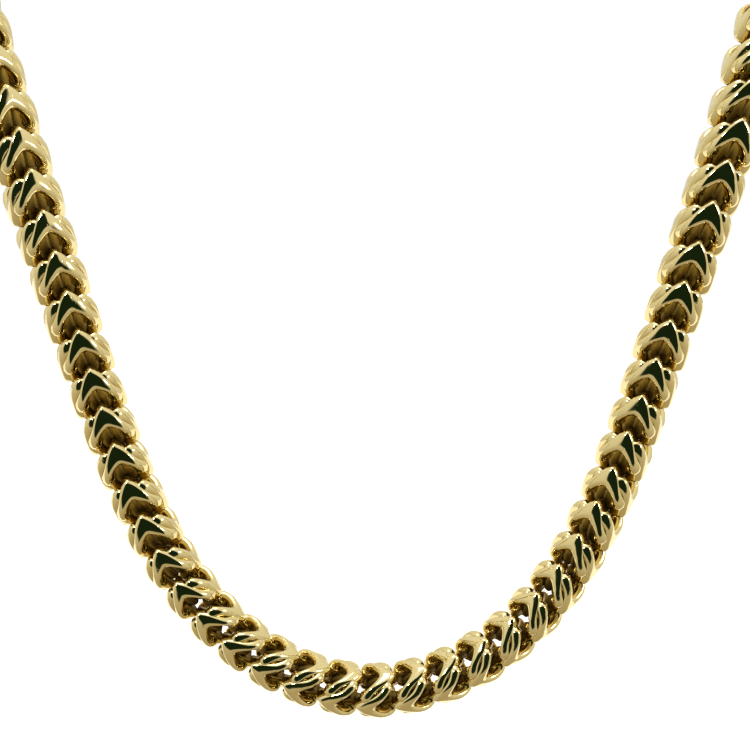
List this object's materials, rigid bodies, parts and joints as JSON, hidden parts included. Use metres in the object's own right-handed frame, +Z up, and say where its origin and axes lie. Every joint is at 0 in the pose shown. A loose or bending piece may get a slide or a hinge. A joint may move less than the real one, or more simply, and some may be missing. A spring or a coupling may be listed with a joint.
{
  "type": "franco chain necklace",
  "caption": "Square franco chain of V-shaped links in polished yellow gold, worn round the neck and closed at the nape by a plain barrel clasp.",
  "frame": {"origin": "the inner side of the clasp, where the necklace rests on the nape", "axes": "+Z up, -Y the way the wearer faces, X across the neck"},
  "size_m": [0.1266, 0.1484, 0.1738],
  "materials": {
    "chain_gold": "polished pale yellow gold",
    "clasp_gold": "polished pale yellow gold"
  },
  "bodies": {
    "root": {"chain": "chain_gold", "clasp": "clasp_gold"}
  },
  "joints": []
}
